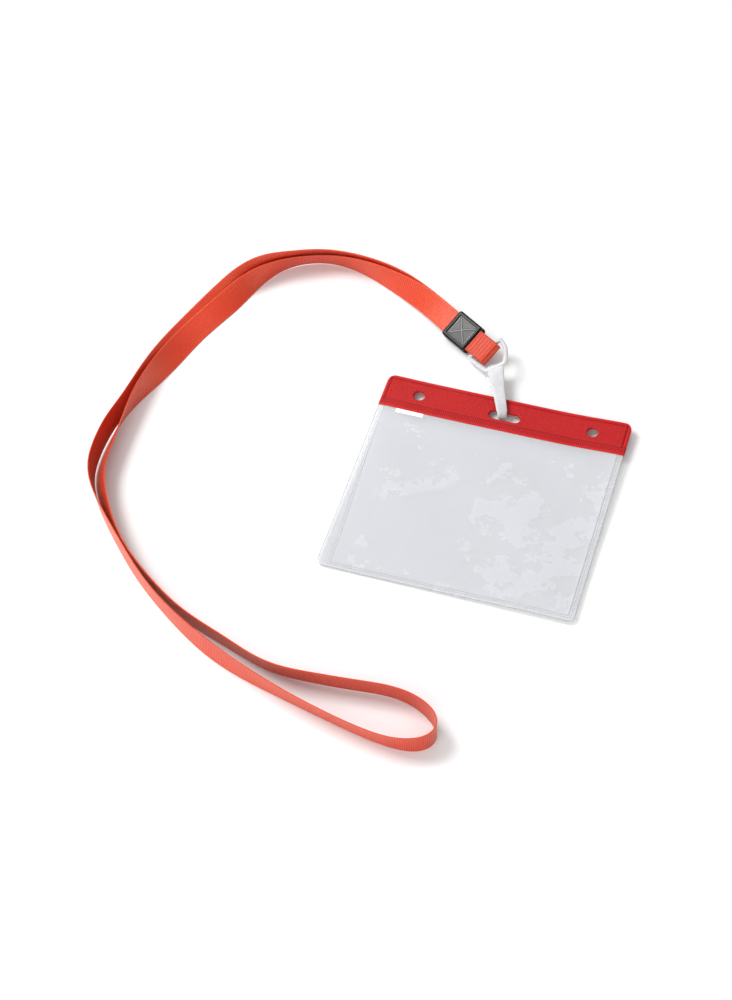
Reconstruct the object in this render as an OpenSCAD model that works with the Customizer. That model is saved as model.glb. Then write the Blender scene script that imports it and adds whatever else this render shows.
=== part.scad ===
// Lanyard badge holder: soft clear pouch with a leather-grain header, a moulded
// hook through the header's slot, a crimp and a flat neck ribbon.
// Lengths in mm, +Z up, resting plane at z = 0, origin under the holder's middle.
// The holder lies tilted by a small angle because the hook's leg passes under it.

/* [Holder] */
// width of pouch and header
holder_w = 110; // [106:1:114]
// depth of the pouch below the header
pouch_h = 90; // [86:1:94]
// height of the header strip
header_h = 18; // [17:0.5:19]
// thickness of one clear film
film_t = 0.25; // [0.2:0.05:0.3]
// thickness of one header strip
strip_t = 0.35; // [0.3:0.05:0.4]
// radius of the header's upper corners
header_r = 4; // [3:0.5:5]
// radius of the pouch's lower corners
pouch_r = 3; // [2:0.5:4]
// lean of the holder about its lower edge, degrees
lean = 1.3; // [1.2:0.1:1.4]

/* [Header openings] */
// distance between the two round holes
hole_pitch = 78; // [74:1:82]
// diameter of each round hole
hole_d = 5; // [4.5:0.5:5.5]
// centre of the round holes below the header's top
hole_drop = 8.5; // [8:0.5:9]
// length of the slot
slot_l = 14; // [13:0.5:15]
// height of the slot
slot_h = 4.5; // [4.5:0.1:4.8]
// centre of the slot below the header's top
slot_drop = 9.8; // [9.6:0.1:10]

/* [Header relief] */
// height of the ribbed weld strip
weld_h = 4; // [3.6:0.2:4.4]
// pitch of the ribs on the weld strip
rib_pitch = 0.8; // [0.7:0.1:1]
// width of the smooth border bead
bead_w = 1.6; // [1.4:0.2:2]
// height of bead and ribs
relief_t = 0.15; // [0.1:0.05:0.15]

/* [Ribbon] */
// width of the neck ribbon
ribbon_w = 11; // [10.5:0.5:11]
// thickness of the neck ribbon
ribbon_t = 0.5; // [0.4:0.1:0.5]

/* [Crimp] */
// length of the crimp along the ribbon
crimp_l = 14.6; // [14:0.2:14.6]
// width of the crimp across the ribbon
crimp_w = 13.5; // [13:0.5:13.5]
// thickness of each crimp shell
shell_t = 2.7; // [2.5:0.1:2.7]

/* [Hook] */
// width of the strap that passes the slot
strap_w = 4; // [3.6:0.2:4]
// thickness of the strap that passes the slot
strap_t = 1.5; // [1.3:0.1:1.5]
// thickness of the hook's stem
stem_t = 1.6; // [1.4:0.1:1.6]
// width of the stem where it joins the ring
stem_top_w = 7.6; // [7:0.2:7.6]
// width of the stem above the slot
stem_low_w = 4.8; // [4.4:0.2:4.8]
// radius of the ring's round bar
bar_r = 0.95; // [0.9:0.05:0.95]
// length of the leg under the header
leg_l = 16; // [15.5:0.5:16]

/* [Hidden] */
$fn = 48;
EPS = 0.01;
holder_h = pouch_h + header_h;
y_low = -holder_h / 2;
y_head = y_low + pouch_h;
y_top = holder_h / 2;
y_hole = y_top - hole_drop;
y_slot = y_top - slot_drop;
y_weld = y_head + weld_h;
z_panel = film_t + strip_t + 0.25;
hook_x = -1;
hook_y = 44.15;
hook_turn = 22.5;
knuckle_r = bar_r + 0.06;
leg_z = 0.2;
leg_t = 1.3;
stem_z = 4.6;
stem_len = 25;
ring_z = 7.1;
ring_roll = 24.8;
ring_rise = tan(ring_roll);
crimp_at = [-30, 85.3, 5.7];
crimp_turn = -33;
crimp_roll = 29;
loop_r = 1.75;
loop_end = 17;
loop_shift = -0.1;
gate_root = [-2, 23.4, 3.75];
gate_tip = [-0.3, 15.9, 2.2];
gate_roll = 18;

// Ribbon route: x, y, z and the turn of the ribbon's width about its own run,
// from the crimp along the inner run to the far bend and back by the outer run.
route = [
    [-36.2, 89.1, 6.1, 151],
    [-51, 99, 5.8, 136],
    [-66.5, 106, 6.1, 110],
    [-85.5, 112, 5.9, 81],
    [-103, 113, 5.4, 64],
    [-119, 106, 5.5, 69],
    [-130.5, 92.5, 5.6, 102],
    [-139.5, 75.5, 3.1, 148],
    [-148.5, 54.5, 2.1, 160],
    [-154, 29, 4.6, 127],
    [-158.5, 6, 5.8, 87],
    [-159, -17.5, 5.2, 63],
    [-155, -41.5, 5.4, 67],
    [-133, -71, 6.9, 93],
    [-103.5, -93.5, 5.8, 96],
    [-75.5, -105, 5.7, 100],
    [-54, -111.5, 5.6, 104],
    [-29, -111, 5.8, 101],
    [-4, -109, 5.8, 100],
    [10, -113, 5.8, 92],
    [17.5, -120.5, 5.8, 89],
    [14, -129, 5.8, 88],
    [-3.5, -131.5, 5.6, 77],
    [-41, -123.5, 5.6, 78],
    [-78, -111.5, 5.7, 94],
    [-109, -93.5, 5.7, 87],
    [-133.5, -72, 5.7, 89],
    [-158.5, -43, 6.1, 82],
    [-163.5, -18, 6.2, 81],
    [-160.5, 6, 6.4, 80],
    [-156.5, 29.5, 5.5, 53],
    [-151.5, 55.5, 2.4, 24],
    [-143.5, 77.5, 3.7, 30],
    [-132.5, 94, 9.3, 72],
    [-119, 105.5, 9.7, 107],
    [-103, 113, 8.7, 112],
    [-85, 113, 7.8, 98],
    [-66, 107.5, 6.4, 66],
    [-50.5, 99.5, 5, 42],
    [-36.1, 89.6, 5.2, 29]
];

// Catmull-Rom point between b and c.
function blend4(a, b, c, d, t) =
    0.5 * (2 * b + (c - a) * t + (2 * a - 5 * b + 4 * c - d) * t * t
    + (3 * b - a - 3 * c + d) * t * t * t);
function clamp_i(i) = max(0, min(len(route) - 1, i));
function route_at(i, t) =
    blend4(route[clamp_i(i - 1)], route[i], route[clamp_i(i + 1)], route[clamp_i(i + 2)], t);
function unit(v) = v / norm(v);
function xyz(q) = [q[0], q[1], q[2]];

stations = [
    for (i = [0 : len(route) - 2])
        for (t = [0, 0.5])
            route_at(i, t),
    route[len(route) - 1]
];
last = len(stations) - 1;

function run_dir(i) =
    unit(xyz(stations[min(i + 1, last)]) - xyz(stations[max(i - 1, 0)]));
function left_dir(i) = unit([-run_dir(i)[1], run_dir(i)[0], 0]);
function width_dir(i) =
    cos(stations[i][3]) * left_dir(i)
    + sin(stations[i][3]) * cross(run_dir(i), left_dir(i));
function face_dir(i) = cross(run_dir(i), width_dir(i));

// Ribbon section, a flat bar.
section = [
    [-ribbon_w / 2, -ribbon_t / 2],
    [ribbon_w / 2, -ribbon_t / 2],
    [ribbon_w / 2, ribbon_t / 2],
    [-ribbon_w / 2, ribbon_t / 2]
];
sides = len(section);

function ring_points(i) = [
    for (s = section)
        xyz(stations[i]) + s[0] * width_dir(i) + s[1] * face_dir(i)
];

module neck_ribbon() {
    points = [for (i = [0 : last]) each ring_points(i)];
    walls = [
        for (i = [0 : last - 1])
            for (k = [0 : sides - 1])
                each [
                    [i * sides + k, (i + 1) * sides + k, (i + 1) * sides + (k + 1) % sides],
                    [i * sides + k, (i + 1) * sides + (k + 1) % sides, i * sides + (k + 1) % sides]
                ]
    ];
    first_cap = [for (k = [0 : sides - 1]) k];
    end_cap = [for (k = [sides - 1 : -1 : 0]) last * sides + k];
    color([0.8, 0.13, 0.12])
        polyhedron(points = points, faces = concat(walls, [first_cap, end_cap]), convexity = 10);
}

// Puts holder parts on their lean about the lower edge.
module leaned() {
    translate([0, y_low, 0])
        rotate([lean, 0, 0])
            translate([0, -y_low, 0])
                children();
}

// Header outline between two heights, upper corners rounded.
module header_shape(y0, inset) {
    w = holder_w - 2 * inset;
    h = y_top - inset - y0;
    r = header_r - inset;
    translate([-w / 2, y0])
        square([w, h - r]);
    translate([-w / 2 + r, y0])
        square([w - 2 * r, h]);
    for (side = [-1, 1])
        translate([side * (w / 2 - r), y_top - inset - r])
            circle(r = r);
}

module header_cuts() {
    for (side = [-1, 1])
        translate([side * hole_pitch / 2, y_hole, -5])
            cylinder(d = hole_d, h = 10);
    for (side = [-1, 1])
        translate([side * (slot_l - slot_h) / 2, y_slot, -5])
            cylinder(d = slot_h, h = 10);
    translate([-(slot_l - slot_h) / 2, y_slot - slot_h / 2, -5])
        cube([slot_l - slot_h, slot_h, 10]);
}

// Ribs of the weld strip as one toothed profile run along the strip.
module weld_ribs() {
    count = floor((holder_w - 3) / rib_pitch);
    x0 = -count * rib_pitch / 2;
    teeth = [
        for (i = [0 : count - 1])
            each [
                [x0 + i * rib_pitch, 0],
                [x0 + (i + 0.25) * rib_pitch, relief_t],
                [x0 + (i + 0.6) * rib_pitch, relief_t],
                [x0 + (i + 0.85) * rib_pitch, 0]
            ]
    ];
    base = [[x0 + count * rib_pitch, 0], [x0 + count * rib_pitch, -0.1], [x0, -0.1]];
    translate([0, y_head + 0.9 + 2.6, z_panel])
        rotate([90, 0, 0])
            linear_extrude(2.6)
                polygon(concat(teeth, base));
}

module header_front() {
    color([0.82, 0.16, 0.18])
        leaned()
            difference() {
                union() {
                    translate([0, 0, film_t])
                        linear_extrude(z_panel - film_t)
                            header_shape(y_weld, 0);
                    translate([-holder_w / 2, y_head, 2 * film_t])
                        cube([holder_w, weld_h + EPS, z_panel - 2 * film_t]);
                    translate([0, 0, z_panel - EPS])
                        linear_extrude(relief_t)
                            difference() {
                                header_shape(y_weld, 0);
                                header_shape(y_weld - 1, bead_w);
                            }
                    weld_ribs();
                }
                header_cuts();
            }
}

module header_back() {
    color([0.78, 0.14, 0.16])
        leaned()
            difference() {
                union() {
                    translate([0, 0, -strip_t])
                        linear_extrude(strip_t + film_t)
                            header_shape(y_weld, 0);
                    translate([-holder_w / 2, y_head, -strip_t])
                        cube([holder_w, weld_h + EPS, strip_t]);
                }
                header_cuts();
            }
}

// Pouch outline with rounded lower corners, open to the weld strip above.
module pouch_shape(inset) {
    w = holder_w - 2 * inset;
    r = pouch_r;
    translate([-w / 2, y_low + inset + r])
        square([w, y_weld - y_low - inset - r - EPS]);
    translate([-w / 2 + r, y_low + inset])
        square([w - 2 * r, r + 1]);
    for (side = [-1, 1])
        translate([side * (w / 2 - r), y_low + inset + r])
            circle(r = r);
}

// Raised weld line that follows the sides and the lower edge of the pouch.
module weld_line(inset, wide) {
    linear_extrude(0.1)
        difference() {
            intersection() {
                pouch_shape(inset);
                translate([-holder_w / 2, y_low])
                    square([holder_w, pouch_h - 1]);
            }
            translate([0, 0.5])
                pouch_shape(inset + wide);
        }
}

module film_front() {
    color([0.87, 0.88, 0.9, 0.35])
        leaned() {
            translate([0, 0, film_t])
                linear_extrude(film_t)
                    pouch_shape(0);
            translate([0, 0, 2 * film_t - EPS])
                weld_line(1.6, 0.6);
            translate([0, 0, 2 * film_t - EPS])
                weld_line(3.2, 0.6);
        }
}

module film_back() {
    color([0.85, 0.86, 0.88, 0.35])
        leaned()
            linear_extrude(film_t)
                pouch_shape(0);
}

// Puts hook parts about the slot's axis, +Y along the stem.
module at_hook() {
    translate([hook_x, hook_y, 0])
        rotate([0, 0, hook_turn])
            children();
}

// Ring corner at a side and a length along the hook, raised by the ring's roll.
function ring_at(v, u) = [v, u, ring_z + v * ring_rise];

// Round bar between two points, with a slightly fuller ball at its start.
module rod(a, b) {
    d = b - a;
    translate(a)
        rotate([0, acos(d[2] / norm(d)), atan2(d[1], d[0])])
            cylinder(r = bar_r, h = norm(d));
    translate(a)
        sphere(r = knuckle_r);
}

module hook_body() {
    p = [
        ring_at(-9.74, 36.6),
        ring_at(4.1, 39.3),
        ring_at(5.6, 33.2),
        ring_at(4, 25.4),
        ring_at(-3.8, 25)
    ];
    color([0.93, 0.93, 0.91])
        at_hook() {
            for (i = [0 : len(p) - 1])
                rod(p[i], p[(i + 1) % len(p)]);
            hull() {
                translate([-stem_low_w / 2, -strap_t / 2, stem_z - stem_t / 2])
                    cube([stem_low_w, strap_t, stem_t]);
                translate([0, stem_len, ring_z])
                    rotate([0, -ring_roll, 0])
                        cube([stem_top_w, 0.6, stem_t], center = true);
            }
            translate([-strap_w / 2, -strap_t / 2, leg_z])
                cube([strap_w, strap_t, stem_z - leg_z]);
            translate([-strap_w / 2, -strap_t / 2, leg_z])
                cube([strap_w, leg_l, leg_t]);
            translate([0, leg_l - strap_t / 2, leg_z])
                cylinder(d = strap_w, h = leg_t);
        }
}

// Springy tongue from the ring's base down to the inside of the leg's tip.
module hook_gate() {
    color([0.94, 0.94, 0.92])
        at_hook()
            hull() {
                translate(gate_root)
                    rotate([0, -gate_roll, 0])
                        cube([5.6, 0.6, 0.9], center = true);
                translate(gate_tip)
                    cube([3.2, 0.6, 0.7], center = true);
            }
}

// Puts crimp parts on the ribbon: +X towards the hook, +Y across the ribbon.
module at_crimp() {
    translate(crimp_at)
        rotate([0, 0, crimp_turn])
            rotate([crimp_roll, 0, 0])
                children();
}

module crimp_front() {
    color([0.1, 0.1, 0.1])
        at_crimp()
            difference() {
                hull() {
                    translate([-crimp_l / 2, -crimp_w / 2, 0.05])
                        cube([crimp_l, crimp_w, shell_t - 0.8]);
                    translate([-crimp_l / 2 + 0.6, -crimp_w / 2 + 0.6, 0.05])
                        cube([crimp_l - 1.2, crimp_w - 1.2, shell_t - 0.05]);
                }
                difference() {
                    translate([-5.65, -5, shell_t - 0.7])
                        cube([11.3, 10, 2]);
                    translate([0, 0, shell_t - 0.71])
                        scale([11.3 / 10, 1, 1])
                            rotate([0, 0, 45])
                                cylinder(r1 = 6.9, r2 = 0.2, h = 0.6, $fn = 4);
                }
            }
}

module crimp_back() {
    color([0.12, 0.12, 0.12])
        at_crimp()
            translate([-crimp_l / 2, -crimp_w / 2, -shell_t])
                cube([crimp_l, crimp_w, shell_t + 0.05]);
}

module loop_shape(r) {
    translate([loop_end, 0])
        circle(r = r);
    translate([crimp_l / 2 + 0.02, -r])
        square([loop_end - crimp_l / 2 - 0.02, 2 * r]);
}

module hook_loop_ribbon() {
    color([0.9, 0.3, 0.24])
        at_crimp()
            translate([0, ribbon_w / 2 + loop_shift, 0])
                rotate([90, 0, 0])
                    linear_extrude(ribbon_w)
                        difference() {
                            loop_shape(loop_r + ribbon_t);
                            translate([-0.5, 0])
                                loop_shape(loop_r);
                            translate([loop_end - 0.5, -loop_r])
                                square([0.5, 2 * loop_r]);
                            translate([loop_end, 0])
                                circle(r = loop_r);
                        }
}

header_front();
header_back();
film_front();
film_back();
hook_body();
hook_gate();
crimp_front();
crimp_back();
neck_ribbon();
hook_loop_ribbon();
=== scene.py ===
"""Lanyard badge holder: soft pouch, moulded hook, crimp and a flat neck ribbon.

All lengths inside the builders are millimetres in the shared frame and are
turned into metres when a mesh is made.
"""

from __future__ import annotations

import logging
import math
from dataclasses import dataclass, field
from enum import Enum
from functools import partialmethod
from typing import Callable

import bpy
import numpy as np
from mathutils import Matrix, Vector


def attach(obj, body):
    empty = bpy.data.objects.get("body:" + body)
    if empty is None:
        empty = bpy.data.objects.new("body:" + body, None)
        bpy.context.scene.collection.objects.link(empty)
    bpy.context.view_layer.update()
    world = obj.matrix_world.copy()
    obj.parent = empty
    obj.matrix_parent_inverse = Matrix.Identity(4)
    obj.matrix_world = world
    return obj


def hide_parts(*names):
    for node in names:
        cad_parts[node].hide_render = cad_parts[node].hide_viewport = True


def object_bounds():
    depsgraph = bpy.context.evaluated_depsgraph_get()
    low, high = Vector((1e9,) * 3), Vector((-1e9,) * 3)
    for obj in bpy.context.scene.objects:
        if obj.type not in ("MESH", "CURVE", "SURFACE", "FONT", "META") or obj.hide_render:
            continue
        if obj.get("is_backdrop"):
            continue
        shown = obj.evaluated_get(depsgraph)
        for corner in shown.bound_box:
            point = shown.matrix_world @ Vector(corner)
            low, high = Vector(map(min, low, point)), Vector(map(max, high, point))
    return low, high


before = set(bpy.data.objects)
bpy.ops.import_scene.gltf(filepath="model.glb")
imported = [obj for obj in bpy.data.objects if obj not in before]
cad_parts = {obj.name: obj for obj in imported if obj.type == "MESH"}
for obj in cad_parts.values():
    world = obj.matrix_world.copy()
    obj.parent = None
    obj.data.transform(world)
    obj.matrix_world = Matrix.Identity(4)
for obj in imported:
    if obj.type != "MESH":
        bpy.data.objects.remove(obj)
LOG = logging.getLogger("badge_holder")
MM = 0.001
LEAN = math.radians(1.3)
LOW_EDGE = -54.0
HALF_WIDTH = 55.0  # half the pouch's width, in millimetres
FILM_INSET = 0.15  # how far the films stay inside the pouch's outline, in millimetres
HALO_FROM, CLING_FROM, CLING_TO = 0.668, 0.682, 0.692  # noise levels where the films' clinging starts
RIB_DEPTH = 76.0  # relief of the ribbon's cross ribs over the square of their pitch, per metre
PATH_STEP = 4  # every so many centreline rows go into a path that is not used further
Array = np.ndarray


class Slot(Enum):
    """Material slots of the record."""

    HEADER = "header_vinyl"
    FILM = "clear_film"
    MILKY = "milky_plastic"
    CRIMP = "crimp_plastic"
    RIBBON = "ribbon"


class Body(Enum):
    """Moving bodies of the record."""

    HOLDER = "holder"
    HOOK = "hook"
    GATE = "gate"
    LANYARD = "lanyard"


# Ribbon route: x, y, z and the turn of the width about the run, crimp to crimp.
ROUTE = np.array([
    [-36.2, 89.1, 6.1, 151],
    [-51, 99, 5.8, 136],
    [-66.5, 106, 6.1, 110],
    [-85.5, 112, 5.9, 81],
    [-103, 113, 5.4, 64],
    [-119, 106, 5.5, 69],
    [-130.5, 92.5, 5.6, 102],
    [-139.5, 75.5, 3.1, 148],
    [-148.5, 54.5, 2.1, 160],
    [-154, 29, 4.6, 127],
    [-158.5, 6, 5.8, 87],
    [-159, -17.5, 5.2, 63],
    [-155, -41.5, 5.4, 67],
    [-133, -71, 6.9, 93],
    [-103.5, -93.5, 5.8, 96],
    [-75.5, -105, 5.7, 100],
    [-54, -111.5, 5.6, 104],
    [-29, -111, 5.8, 101],
    [-4, -109, 5.8, 100],
    [10, -113, 5.8, 92],
    [17.5, -120.5, 5.8, 89],
    [14, -129, 5.8, 88],
    [-3.5, -131.5, 5.6, 77],
    [-41, -123.5, 5.6, 78],
    [-78, -111.5, 5.7, 94],
    [-109, -93.5, 5.7, 87],
    [-133.5, -72, 5.7, 89],
    [-158.5, -43, 6.1, 82],
    [-163.5, -18, 6.2, 81],
    [-160.5, 6, 6.4, 80],
    [-156.5, 29.5, 5.5, 53],
    [-151.5, 55.5, 2.4, 24],
    [-143.5, 77.5, 3.7, 30],
    [-132.5, 94, 9.3, 72],
    [-119, 105.5, 9.7, 107],
    [-103, 113, 8.7, 112],
    [-85, 113, 7.8, 98],
    [-66, 107.5, 6.4, 66],
    [-50.5, 99.5, 5, 42],
    [-36.1, 89.6, 5.2, 29]
])


# ---------------------------------------------------------------- camera first
@dataclass(frozen=True)
class CameraRig:
    """The solved camera: where it stands and how it is turned."""

    stand: tuple[float, float, float] = (0.14045, -0.5601, 0.71201)
    right: tuple[float, float, float] = (0.95507, 0.29554, -0.02242)
    up: tuple[float, float, float] = (-0.21647, 0.7472, 0.62836)
    back: tuple[float, float, float] = (0.20246, -0.59528, 0.7776)
    lens: float = 77.63

    def build(self) -> bpy.types.Object:
        """Make the camera and set it as the scene's.

        Returns:
            The camera object.
        """
        data = bpy.data.cameras.new("camera")
        data.sensor_fit = "VERTICAL"
        data.sensor_height = 36.0
        data.lens = self.lens
        data.clip_start = 0.01
        cam = bpy.data.objects.new("camera", data)
        bpy.context.scene.collection.objects.link(cam)
        turn = Matrix((self.right, self.up, self.back)).transposed()
        cam.matrix_world = Matrix.Translation(Vector(self.stand)) @ turn.to_4x4()
        bpy.context.scene.camera = cam
        return cam


# ------------------------------------------------------------- mesh primitives
def unit(v: Array) -> Array:
    """Scale every vector of an array to length one.

    Args:
        v: Vectors along the last axis.

    Returns:
        The same vectors with unit length.
    """
    return v / np.maximum(np.linalg.norm(v, axis=-1, keepdims=True), 1e-12)


def smooth01(t: Array) -> Array:
    """Ease from nought to one.

    Args:
        t: Values, clipped to the range nought to one.

    Returns:
        Eased values.
    """
    t = np.clip(t, 0.0, 1.0)
    return t * t * (3 - 2 * t)


def make_mesh(name: str, verts: Array, faces: list, uv: Array | None = None) -> bpy.types.Object:
    """Make a smooth-shaded object from millimetre vertices.

    Args:
        name: Object name.
        verts: Vertices in millimetres.
        faces: Faces as index lists.
        uv: Optional pair per vertex, in metres, written as the map "run".

    Returns:
        The new object, linked to the scene.
    """
    mesh = bpy.data.meshes.new(name)
    mesh.from_pydata((np.asarray(verts, float) * MM).tolist(), [], faces)
    mesh.polygons.foreach_set("use_smooth", np.ones(len(mesh.polygons), dtype=bool))
    if uv is not None:
        layer = mesh.uv_layers.new(name="run")
        loops = np.empty(len(mesh.loops), dtype=np.int32)
        mesh.loops.foreach_get("vertex_index", loops)
        layer.data.foreach_set("uv", np.asarray(uv, float)[loops].ravel())
    mesh.update()
    obj = bpy.data.objects.new(name, mesh)
    bpy.context.scene.collection.objects.link(obj)
    return obj


def catmull(points: Array, steps: int) -> Array:
    """Run a smooth curve through points, any number of columns.

    Args:
        points: Control rows.
        steps: Samples per span.

    Returns:
        Sampled rows, both ends included.
    """
    q = np.vstack([2 * points[0] - points[1], points, 2 * points[-1] - points[-2]])
    t = (np.arange(steps) / steps)[None, :, None]
    a, b, c, d = (q[i:len(q) - 3 + i, None, :] for i in range(4))
    rows = 0.5 * (2 * b + (c - a) * t + (2 * a - 5 * b + 4 * c - d) * t**2
                  + (3 * b - a - 3 * c + d) * t**3)
    return np.vstack([rows.reshape(-1, points.shape[1]), points[-1]])


def even(rows: Array, pitch: float) -> tuple[Array, Array]:
    """Resample a curve at an even pitch along its first three columns.

    Args:
        rows: Curve rows.
        pitch: Wanted spacing.

    Returns:
        The rows and their run lengths.
    """
    run = np.r_[0, np.cumsum(np.linalg.norm(np.diff(rows[:, :3], axis=0), axis=1))]
    count = max(3, int(round(run[-1] / pitch)))
    s = np.linspace(0, run[-1], count + 1)
    return np.stack([np.interp(s, run, rows[:, k]) for k in range(rows.shape[1])], 1), s


def soften(rows: Array, reach: int) -> Array:
    """Average rows along the curve and keep both ends in place.

    Args:
        rows: Curve rows.
        reach: Half width of the averaging window, in rows.

    Returns:
        Softened rows.
    """
    k = np.hanning(2 * reach + 3)[1:-1]
    k /= k.sum()
    head = 2 * rows[0] - rows[reach:0:-1]
    tail = 2 * rows[-1] - rows[-2:-reach - 2:-1]
    full = np.vstack([head, rows, tail])
    return np.stack([np.convolve(full[:, c], k, "valid") for c in range(rows.shape[1])], 1)


def loft(name: str, rings: Array, run: Array | None = None, across: Array | None = None,
         loop: bool = False) -> bpy.types.Object:
    """Join rings of points into one closed skin.

    Args:
        name: Object name.
        rings: Array of rings, each a loop of points.
        run: Length along the rings, for the map.
        across: Place across each ring, for the map.
        loop: Whether the last ring joins the first instead of being capped.

    Returns:
        The new object.
    """
    n, m = rings.shape[:2]
    i = np.arange(n if loop else n - 1)[:, None]
    k = np.arange(m)[None, :]
    j, l = (i + 1) % n, (k + 1) % m
    quads = np.stack([i * m + k, i * m + l, j * m + l, j * m + k], -1).reshape(-1, 4)
    faces = quads.tolist()
    if not loop:
        faces.append(list(range(m - 1, -1, -1)))
        faces.append(list(range((n - 1) * m, n * m)))
    uv = None
    if run is not None and across is not None:
        uv = np.stack(np.broadcast_arrays(run[:, None], across[None, :]), -1).reshape(-1, 2) * MM
    return make_mesh(name, rings.reshape(-1, 3), faces, uv)


def outward(obj: bpy.types.Object) -> bpy.types.Object:
    """Turn a closed mesh right side out by the sign of its volume.

    Args:
        obj: A closed mesh object.

    Returns:
        The same object.
    """
    mesh = obj.data
    mesh.calc_loop_triangles()
    co = np.empty(len(mesh.vertices) * 3)
    mesh.vertices.foreach_get("co", co)
    co = co.reshape(-1, 3)
    tri = np.empty(len(mesh.loop_triangles) * 3, dtype=np.int32)
    mesh.loop_triangles.foreach_get("vertices", tri)
    a, b, c = (co[tri.reshape(-1, 3)[:, k]] for k in range(3))
    if np.einsum("ij,ij->", a, np.cross(b, c)) < 0:
        mesh.flip_normals()
    return obj


@dataclass(frozen=True)
class Plate:
    """A thin soft sheet with a free outline and holes, on an even grid.

    The outline is a distance that is negative inside. Grid cells whose middle
    lies inside are kept and their rim points are pulled onto the outline.
    """

    name: str
    low: tuple[float, float]
    high: tuple[float, float]
    cells: tuple[int, int]
    distance: Callable[[Array, Array], Array]
    top: Callable[[Array, Array, Array], Array]
    bottom: Callable[[Array, Array, Array], Array]

    def build(self, place: Callable[[Array], Array]) -> bpy.types.Object:
        """Make the closed sheet.

        Args:
            place: Moves local points into the shared frame.

        Returns:
            The new object.
        """
        nx, ny = self.cells
        gx = np.linspace(self.low[0], self.high[0], nx + 1)
        gy = np.linspace(self.low[1], self.high[1], ny + 1)
        x, y = np.meshgrid(gx, gy, indexing="ij")
        mid = self.distance((x[1:, 1:] + x[:-1, :-1]) / 2, (y[1:, 1:] + y[:-1, :-1]) / 2)
        i, j = np.nonzero(mid < 0)
        quads = np.stack([i * (ny + 1) + j, (i + 1) * (ny + 1) + j,
                          (i + 1) * (ny + 1) + j + 1, i * (ny + 1) + j + 1], -1)
        edges = np.concatenate([quads[:, [k, (k + 1) % 4]] for k in range(4)])
        big = (nx + 1) * (ny + 1)
        key, back = edges[:, 0] * big + edges[:, 1], edges[:, 1] * big + edges[:, 0]
        rim = edges[~np.isin(key, back)]
        x, y = x.ravel().copy(), y.ravel().copy()
        on_rim = np.unique(rim)
        for _ in range(3):
            px, py = x[on_rim], y[on_rim]
            d = self.distance(px, py)
            dx = (self.distance(px + 0.01, py) - self.distance(px - 0.01, py)) / 0.02
            dy = (self.distance(px, py + 0.01) - self.distance(px, py - 0.01)) / 0.02
            g = np.maximum(dx * dx + dy * dy, 0.25)
            x[on_rim] -= d * dx / g
            y[on_rim] -= d * dy / g
        used = np.unique(quads)
        back_of = np.full(big, -1)
        back_of[used] = np.arange(len(used))
        x, y = x[used], y[used]
        inside = np.maximum(-self.distance(x, y), 0)
        upper = np.stack([x, y, self.top(x, y, inside)], 1)
        lower = np.stack([x, y, self.bottom(x, y, inside)], 1)
        n = len(used)
        q = back_of[quads]
        r = back_of[rim]
        walls = np.stack([r[:, 1], r[:, 0], r[:, 0] + n, r[:, 1] + n], -1)
        faces = np.concatenate([q, q[:, ::-1] + n, walls]).tolist()
        points = place(np.vstack([upper, lower]))
        uv = np.vstack([upper[:, :2], lower[:, :2]]) * MM
        return outward(make_mesh(self.name, points, faces, uv))


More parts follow.
